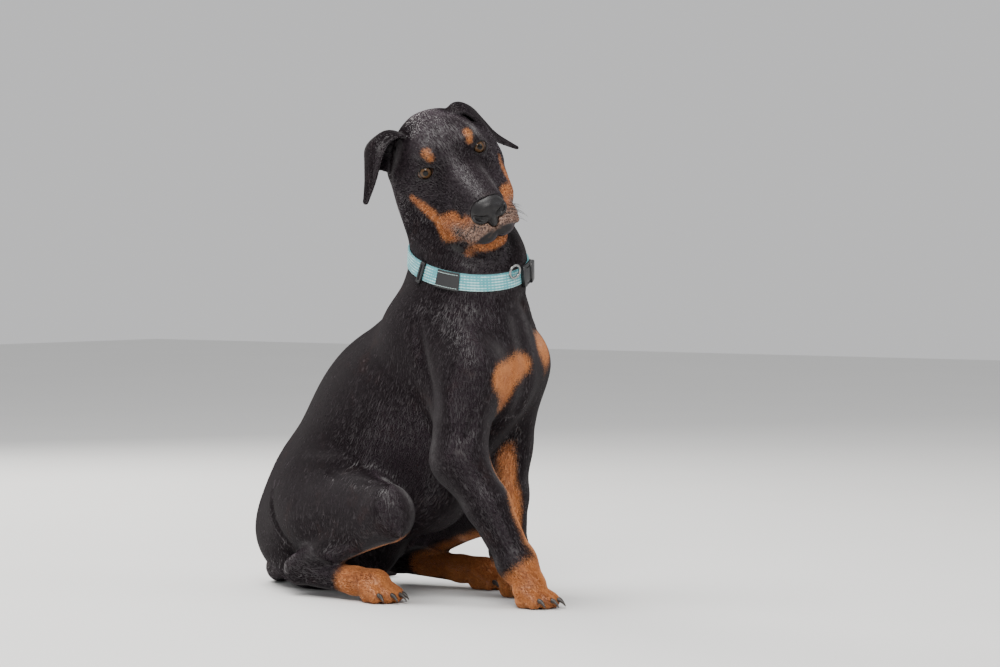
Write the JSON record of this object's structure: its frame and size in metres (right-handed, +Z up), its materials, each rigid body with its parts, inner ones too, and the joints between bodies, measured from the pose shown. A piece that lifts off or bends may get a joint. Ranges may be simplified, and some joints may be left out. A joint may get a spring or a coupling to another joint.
{
  "type": "sitting doberman pinscher puppy, still model",
  "caption": "Life-size still model of a young black and rust doberman pinscher sitting with its head tilted, natural hanging ears, wearing a plain webbing collar.",
  "frame": {"origin": "middle of the bottom of the box round the dog, on the floor", "axes": "+Z up, the dog's chest faces -Y, the dog's left side is +X"},
  "size_m": [0.2442, 0.4262, 0.4923],
  "materials": {
    "coat": "short smooth black coat with a soft sheen",
    "tan_coat": "short smooth rust coat on the feet",
    "nose_leather": "fine pebbled damp black skin",
    "eye": "wet, amber brown iris round a black pupil",
    "claw": "dark horn, smooth",
    "whisker": "stiff dark hair",
    "collar_webbing": "woven turquoise webbing with fine pale and dark lines",
    "collar_patch": "plain dark sewn patch",
    "collar_plastic": "moulded black plastic",
    "collar_steel": "bright steel wire"
  },
  "bodies": {
    "root": {"head": "coat", "neck": "coat", "torso": "coat", "tail": "coat", "ear_left": "coat", "ear_right": "coat", "foreleg_left": "coat", "foreleg_right": "coat", "hindleg_left": "coat", "hindleg_right": "coat", "forepaw_left": "tan_coat", "forepaw_right": "tan_coat", "hindpaw_left": "tan_coat", "hindpaw_right": "tan_coat", "nose": "nose_leather", "eye_left": "eye", "eye_right": "eye", "collar_strap": "collar_webbing", "collar_patch": "collar_patch", "collar_slide": "collar_plastic", "collar_buckle": "collar_plastic", "collar_ring": "collar_steel"}
  },
  "joints": []
}
